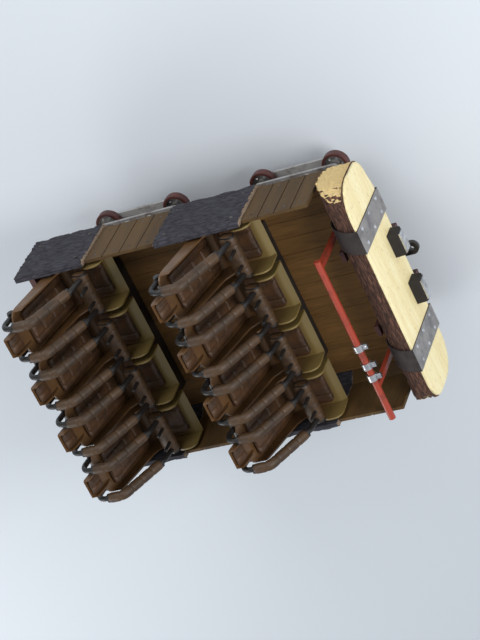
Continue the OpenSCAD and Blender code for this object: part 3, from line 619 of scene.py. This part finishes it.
def tube(path, radius, steps, closed=False):
    """A round tube along a path in one plane, XZ if it is open and XY if it is closed. radius is a number,
    or a function of the share of the way along."""
    rings = []
    last = len(path) - 1
    for i, spot in enumerate(path):
        before = path[i - 1] if i or closed else spot
        after = path[(i + 1) % len(path)] if i < last or closed else spot
        across = Vector((0, 0, 1)) if closed else Vector((0, 1, 0))
        up = (after - before).normalized().cross(across)
        r = radius(i / last) if callable(radius) else radius
        turns = [math.tau * k / steps for k in range(steps)]
        rings.append([spot + r * (math.cos(a) * across + math.sin(a) * up) for a in turns])
    return lofted(rings, closed)

# %% [markdown]
# A seat's three cushions are rounded blocks. Their undersides lie on the shell and stay flat. A welt, the
# piping that joins the top to the sides, runs round the upper edge. Its outline is a block's with round
# corners, bent in between them as the sides are.

# %% Three kinds of cushion
CORNER_R = 0.035
SIDE_PULL = 0.03
END_PULL = 0.02
CROWN = 0.003
WRINKLE_DEPTH = 0.0014
WRINKLES_A_METRE = 24
CHANNEL_DEPTH = 0.009
WELT_R = 0.0035
WELT_IN = 0.004
WELT_DOWN = 0.011
WELT_POINTS = 64
WELT_SQUARE = 0.35


def cushion(name, size, lines):
    """A cushion of a size, its underside flat, with channels sewn along lines given as (x0, y0, x1, y1)."""
    half_x, half_y, half_z = (v / 2 for v in size)

    def pulled_in(x, y):
        """A point of the outline, with the sides and the ends bent in between the corners."""
        return x * (1 - END_PULL * (1 - (y / half_y) ** 2)), y * (1 - SIDE_PULL * (1 - (x / half_x) ** 2))

    block = bmesh.new()
    bmesh.ops.create_cube(block, size=1.0)
    bmesh.ops.scale(block, vec=[v - 2 * PAD_SHRINK for v in size], verts=block.verts)
    upright = [e for e in block.edges if abs(e.verts[0].co.z - e.verts[1].co.z) > 0.001]
    bmesh.ops.bevel(block, geom=upright, offset=CORNER_R, segments=6, profile=0.5, affect="EDGES")
    mesh = bpy.data.meshes.new(name)
    block.to_mesh(mesh)
    block.free()
    made = blown_up(name, mesh)
    for vertex in made.data.vertices:
        x, y, z = vertex.co
        vertex.co.x, vertex.co.y = pulled_in(x, y)
        if z < 0:
            vertex.co.z = max(z, -half_z)
            continue
        pull = 0.0
        for x0, y0, x1, y1 in lines:
            run = Vector((x1 - x0, y1 - y0))
            share = max(0.0, min(1.0, ((x - x0) * run.x + (y - y0) * run.y) / run.length_squared))
            pull = max(pull, seam_depth(math.hypot(x - x0 - share * run.x, y - y0 - share * run.y)))
        crown = CROWN * (1 - (x / half_x) ** 2) * (1 - (y / half_y) ** 2)
        spot = Vector((x * WRINKLES_A_METRE, y * WRINKLES_A_METRE, half_z))
        wrinkle = WRINKLE_DEPTH * noise.fractal(spot, 0.9, 2.0, 3)
        vertex.co.z += (wrinkle + crown - CHANNEL_DEPTH * pull) * z / half_z
    mesh = thinned(made)
    welt = []
    for i in range(WELT_POINTS):
        angle = math.tau * i / WELT_POINTS
        x, y = (math.copysign(abs(v) ** WELT_SQUARE, v) for v in (math.cos(angle), math.sin(angle)))
        welt.append(Vector((*pulled_in(x * (half_x - WELT_IN), y * (half_y - WELT_IN)), half_z - WELT_DOWN)))
    pad = ([v.co for v in mesh.vertices], [tuple(p.vertices) for p in mesh.polygons], STILL)
    sewn = joined(name, [pad, (*tube(welt, WELT_R, 8, closed=True), STILL)])
    print(name, len(sewn.polygons), "faces")
    return sewn


seat_pad = cushion("seat_pad", (0.290, 0.340, 0.045), [
    (-0.13, -0.085, 0.13, -0.085), (-0.13, 0.085, 0.13, 0.085), (-0.02, -0.085, -0.02, 0.085)])
back_pad = cushion("back_pad", (0.559, 0.340, 0.0435), [
    (-0.26, -0.1, 0.26, -0.1), (-0.26, 0.1, 0.26, 0.1)] + [(x, -0.1, x, 0.1) for x in (-0.14, 0.0, 0.14)])
head_pad = cushion("head_pad", (0.140, 0.150, 0.031), [(-0.05, 0.0, 0.05, 0.0)])

# %% [markdown]
# Each pad lies on its shell: the seat pad flat on the pan, the other two on the back, which leans by 15
# degrees. The places are measured from the rear corner of a seat's pan.

# %% Place the cushions
LEAN = math.radians(15)
PAN_Z = 0.980
SEAT_Y = (0.705, 0.235, -0.235, -0.705)
SEATS = [(row, number, Vector((ROW_X[row], y, PAN_Z)))
         for row in ROW_X for number, y in enumerate(SEAT_Y, 1)]
upward = Vector((-math.sin(LEAN), 0, math.cos(LEAN)))
outward = Vector((math.cos(LEAN), 0, math.sin(LEAN)))
leaning = Matrix((upward, Vector((0, -1, 0)), outward)).transposed().to_4x4()
CUSHIONS = [
    ("seat_pad", seat_pad, (0.235, 0, 0.0228), STILL),
    ("back_pad", back_pad, (-0.0684, 0, 0.340), leaning),
    ("head_pad", head_pad, (-0.1922, 0, 0.7775), leaning),
]

for row, number, spot in SEATS:
    for name, mesh, place, lie in CUSHIONS:
        pad = piece(f"{name}_{row}_{number}", mesh, cushion_vinyl, "car",
                    Matrix.Translation(spot + Vector(place)) @ lie)
        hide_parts(f"seat_cushions_{row}")

# %% [markdown]
# ## Lap bar padding
# Each lap bar is bent steel tube inside a foam collar: a fat sleeve over each shoulder, and a broad pad
# across the lap. A curve with a round bevel could make the sleeves, but here they are rings of points along
# the tube's own path, because their ends are narrower and they are stitched round every 110 mm. The pad is
# a flattened roll with two seams. They ride on the lap bar, so they swing up with it.

# %% Lap bar padding
SLEEVE_R = 0.046
SLEEVE_PATH = [(-0.130, 0, 0.800), (0.010, 0, 0.800), (0.238, 0, 0.437)]
SLEEVE_END = 0.06
ARM_Y = 0.146
BEND_R = 0.085
PATH_STEP = 0.010
RING_STEP = 0.11
RING_DEPTH = 0.0035
LAP_PAD_R = 0.052
LAP_PAD_HALF = 0.193
LAP_PAD_FRONT = Vector((0.290, 0, 0.240))
LAP_PAD_BACK = Vector((0.240, 0, 0.228))
LAP_PAD_MIDDLE = Vector((0.265, 0, 0.234))
LAP_PAD_TOP = 0.42
LAP_SEAM_Y = 0.105


def bent_path(corners, bend, step):
    """Points every step along a line whose corners are bent to a radius."""
    corners = [Vector(c) for c in corners]
    path = [corners[0]]
    for a, b, c in zip(corners, corners[1:], corners[2:]):
        way, out = (b - a).normalized(), (c - b).normalized()
        angle = way.angle(out)
        start = b - way * bend * math.tan(angle / 2)
        inward = (out - way * way.dot(out)).normalized()
        count = max(2, round(bend * angle / step))
        for i in range(count + 1):
            turned = angle * i / count
            path.append(start + inward * bend * (1 - math.cos(turned)) + way * bend * math.sin(turned))
    path.append(corners[-1])
    even = []
    for a, b in zip(path, path[1:]):
        count = max(1, round((b - a).length / step))
        even += [a.lerp(b, i / count) for i in range(count)]
    return even + [path[-1]]


def sleeve_radius(share):
    """A sleeve's radius at a share of its length: a fifth narrower at each end."""
    from_end = min(1.0, min(share, 1 - share) / SLEEVE_END)
    return (SLEEVE_R - PAD_SHRINK) * (0.80 + 0.20 * math.sin(from_end * math.pi / 2))


def lap_roll():
    """The pad across the lap, a flattened roll that narrows at its ends."""
    outline = []
    for i in range(32):
        a = math.tau * i / 32
        middle = LAP_PAD_FRONT if math.cos(a) > 0 else LAP_PAD_BACK
        outline.append(middle + (LAP_PAD_R - PAD_SHRINK) * Vector((math.cos(a), 0, math.sin(a))))
    rings = []
    for i in range(25):
        share = i / 12 - 1
        narrow = 1 - 0.22 * max(0.0, abs(share) - 0.86) / 0.14
        shift = Vector((0, share * (LAP_PAD_HALF - PAD_SHRINK), 0))
        rings.append([LAP_PAD_MIDDLE + (p - LAP_PAD_MIDDLE) * narrow + shift for p in outline])
    return lofted(rings)


sleeve_path = bent_path(SLEEVE_PATH, BEND_R, PATH_STEP)
sleeve = tube(sleeve_path, sleeve_radius, 24)
collar = blown_up("collar", joined("collar", [
    (*lap_roll(), STILL), *((*sleeve, Matrix.Translation((0, y, 0))) for y in (-ARM_Y, ARM_Y))]))

lengths = [0.0]
for a, b in zip(sleeve_path, sleeve_path[1:]):
    lengths.append(lengths[-1] + (b - a).length)
for vertex in collar.data.vertices:
    if vertex.co.z > LAP_PAD_TOP:
        flat = Vector((vertex.co.x, 0, vertex.co.z))
        near = min(range(len(sleeve_path)), key=lambda i: (sleeve_path[i] - flat).length_squared)
        way = (sleeve_path[min(near + 1, len(lengths) - 1)] - sleeve_path[near]).normalized()
        along = lengths[near] + (flat - sleeve_path[near]).dot(way)
        centre = sleeve_path[near] + Vector((0, math.copysign(ARM_Y, vertex.co.y), 0))
        off = (along + RING_STEP / 2) % RING_STEP - RING_STEP / 2
    else:
        centre = LAP_PAD_MIDDLE + Vector((0, vertex.co.y, 0))
        off = abs(abs(vertex.co.y) - LAP_SEAM_Y)
    vertex.co -= (vertex.co - centre).normalized() * RING_DEPTH * seam_depth(off)
collar_mesh = thinned(collar)
print("collar:", len(collar_mesh.polygons), "faces")

for row, number, spot in SEATS:
    padding = piece(f"collar_{row}_{number}", collar_mesh, collar_vinyl, f"restraint_{row}_{number}",
                    Matrix.Translation(spot))

# %% [markdown]
# ## Bolts
# Bolts hold everything, and they are what gives steelwork its scale. Three forms are enough: a hexagon head
# on its washer, a domed coach bolt, and a cap screw with a round head. Instances would save memory, but the
# bolts are small, so each group of them is one joined mesh. Each bolt is turned a little further than the
# one before it, since no two are ever tightened alike.

# %% Bolts
def hex_bolt(r):
    """A hexagon head of radius r on a washer."""
    washer = revolved([(1.35 * r, 0), (1.35 * r, 0.22 * r)], 20)
    head = revolved([(r, 0.2 * r), (r, 0.8 * r), (0.86 * r, 0.92 * r)], 6)
    return [washer, head]


def coach_bolt(r):
    """A low domed head of radius r."""
    arc = [math.radians(a) for a in (0, 25, 50, 75)]
    return [revolved([(r * math.cos(a), 0.45 * r * math.sin(a)) for a in arc], 16)]


def cap_screw(r):
    """A cylindrical head of radius r with a socket."""
    return [revolved([(r, 0), (r, 0.9 * r), (0.9 * r, r), (0.55 * r, r), (0.55 * r, 0.5 * r)], 12)]


TURN_EACH = 0.4


def bolted(name, bolt, spots, finish, body="car"):
    """One mesh with a bolt at each (place, normal)."""
    parts = []
    for i, (place, normal) in enumerate(spots):
        parts += [(*part, standing(place, normal, TURN_EACH * i)) for part in bolt]
    made = piece(name, joined(name, parts), finish, body)
    made.data.set_sharp_from_angle(angle=SMOOTH_ANGLE)


def circle(radius, count):
    """Evenly spaced points of a circle, each as (across, up)."""
    turns = [math.tau * k / count for k in range(count)]
    return [(radius * math.cos(a), radius * math.sin(a)) for a in turns]

# %% [markdown]
# The bolts' places follow the pieces that they hold: the straps on the log, the axles' caps, the carriers'
# plates, the walls' boards and slabs, the bumpers' faces, the nose rail's clamps and the log's brackets.

# %% Place the bolts
SIDES = (1, -1)
AXLES = (0.72, -0.72)
ROAD_Z = 0.443
STRAP_Y = 0.55
BOARDS = [(-0.840, -0.210), (0.560, 1.115)]
PLANKS = 4
SLABS = [(-1.49, -0.84), (-0.21, 0.56)]
BUMPER_YZ = (0.22, 0.69)
RAIL_XZ = (1.068, 1.225)
CLAMP_Y = (-0.31, -0.48, -0.59)
BRACKET_XY = (1.085, 0.35)
PLATE_OUT = 0.683
SLAB_OUT = 0.990

strap_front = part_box("log_straps")[1].x - 0.0005
bolted("strap_bolts", coach_bolt(0.017), [
    ((strap_front, s * STRAP_Y + dy, z), (1, 0, 0))
    for s in SIDES for dy in (-0.062, 0.062) for z in (0.66, 0.88, 1.10)], bright_steel)

cap_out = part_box("bogie_axles")[1].y - 0.001
bolted("axle_cap_screws", cap_screw(0.0075), [
    ((x + across, s * cap_out, ROAD_Z + up), (0, s, 0))
    for x in AXLES for s in SIDES for across, up in circle(0.038, 6)], bright_steel)

bolted("carrier_bolts", hex_bolt(0.016), [
    ((x + dx, s * PLATE_OUT, ROAD_Z + dz), (0, s, 0))
    for reach, dz in ((0.3, 0), (0.24, -0.071)) for x in AXLES for s in SIDES for dx in (-reach, reach)],
    bright_steel)

board_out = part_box("timber_panels_left")[1].y - 0.0003
bolted("board_bolts", coach_bolt(0.010), [
    ((start + (i + 0.5) * (stop - start) / PLANKS, s * board_out, z), (0, s, 0))
    for start, stop in BOARDS for i in range(PLANKS) for s in SIDES for z in (0.76, 1.12)],
    axle_steel)

bolted("slab_bolts", coach_bolt(0.016), [
    ((x, s * SLAB_OUT, z), (0, s, 0)) for start, stop in SLABS for x in (start + 0.09, stop - 0.09)
    for s in SIDES for z in (0.78, 1.13)], axle_steel)

bumper_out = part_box("bumper_faces")[1].x - 0.0042
bolted("bumper_screws", cap_screw(0.0042), [
    ((bumper_out, s * BUMPER_YZ[0] + dy, BUMPER_YZ[1] + dz), (1, 0, 0))
    for s in SIDES for dy in (-0.068, 0.068) for dz in (-0.035, 0.035)], axle_steel)

bolted("clamp_bolts", hex_bolt(0.008), [
    ((RAIL_XZ[0], y, RAIL_XZ[1] + s * 0.012), (0, 0, s)) for y in CLAMP_Y for s in SIDES],
    bright_steel)

bolted("bracket_bolts", hex_bolt(0.012), [
    ((BRACKET_XY[0], s * BRACKET_XY[1] + dy, z), (-1, 0, 0))
    for s in SIDES for dy in (-0.024, 0.024) for z in (0.68, 0.80, 0.92)], axle_steel)

# %% [markdown]
# The wheels' hubs are bolted through their dished webs, six bolts on each side, well inside the width of the
# tread. These bolts turn with their wheel, and so show that it turns.

# %% Hub bolts
HUB_EDGE = 0.047
RIM_T = 0.010
WEB_IN = 0.019

for name in [n for n in NODES if "_wheel" in n]:
    low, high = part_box(name)
    middle, size = (low + high) / 2, high - low
    axis = thin_axis(size)
    rim = size[(axis + 1) % 3] / 2 - TREAD_T - RIM_T
    bolt_r = min(0.008, (rim - HUB_EDGE) / 2.9)
    web = size[axis] / 2 - WEB_IN
    along = Vector([1.0 if i == axis else 0.0 for i in range(3)])
    across = Vector((1, 0, 0))
    up = along.cross(across)
    spots = [(middle + s * web * along + u * across + v * up, s * along)
             for s in SIDES for u, v in circle((HUB_EDGE + rim) / 2, 6)]
    hub = name.replace("wheel", "hub_bolts")
    bolted(hub, hex_bolt(bolt_r), spots, bright_steel, body=name)

# %% [markdown]
# ## Studio
# A pale floor, a pale world and three large soft lamps. The strongest one faces the log, because the light
# falls on it in the photograph. The lamps are only as strong as lets a colour render about as it is written,
# without the pale log clipping to white.

# %% Studio
FLOOR_HALF = 60
FLOOR_Z = -0.001
WORLD_STRENGTH = 0.55
CAR_MIDDLE = (0, 0, 0.9)
LAMPS = [
    ("key", (7, 1.5, 6), (0.3, 0, 0.9), 3.0, 420),
    ("fill", (-2, 8, 5), CAR_MIDDLE, 5.0, 270),
    ("rim", (-7, -4, 5), CAR_MIDDLE, 4.0, 260),
]

corners = [(x * FLOOR_HALF, y * FLOOR_HALF, FLOOR_Z) for x, y in ((-1, -1), (1, -1), (1, 1), (-1, 1))]
floor_mesh = bpy.data.meshes.new("studio_floor")
floor_mesh.from_pydata(corners, [], [(0, 1, 2, 3)])
studio_floor = bpy.data.objects.new("studio_floor", floor_mesh)
scene.collection.objects.link(studio_floor)
studio_floor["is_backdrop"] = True
floor_paint, floor_output, _ = new_material("pale_studio_floor")
floor_shader = add(floor_paint, "ShaderNodeBsdfPrincipled", {
    "Base Color": linear("#d9dee3"), "Roughness": 0.9})
floor_paint.node_tree.links.new(floor_shader.outputs[0], floor_output.inputs["Surface"])
floor_mesh.materials.append(floor_paint)

world = bpy.data.worlds.new("studio")
scene.world = world
world.use_nodes = True
world.node_tree.nodes["Background"].inputs[0].default_value = linear("#e6edf5")
world.node_tree.nodes["Background"].inputs[1].default_value = WORLD_STRENGTH

for name, place, target, size, power in LAMPS:
    data = bpy.data.lights.new(name, "AREA")
    data.energy = power
    data.size = size
    lamp = bpy.data.objects.new(name, data)
    scene.collection.objects.link(lamp)
    facing = (Vector(target) - Vector(place)).to_track_quat("-Z", "Y")
    lamp.matrix_world = Matrix.Translation(place) @ facing.to_matrix().to_4x4()

scene.view_settings.view_transform = "Standard"

# %% [markdown]
# ## Sizes
# The dressed car has to stay inside the imported model's box, so the box round the dressed car is printed.

# %% Sizes
low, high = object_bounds()
print("box:", [round(v, 4) for v in low], [round(v, 4) for v in high])
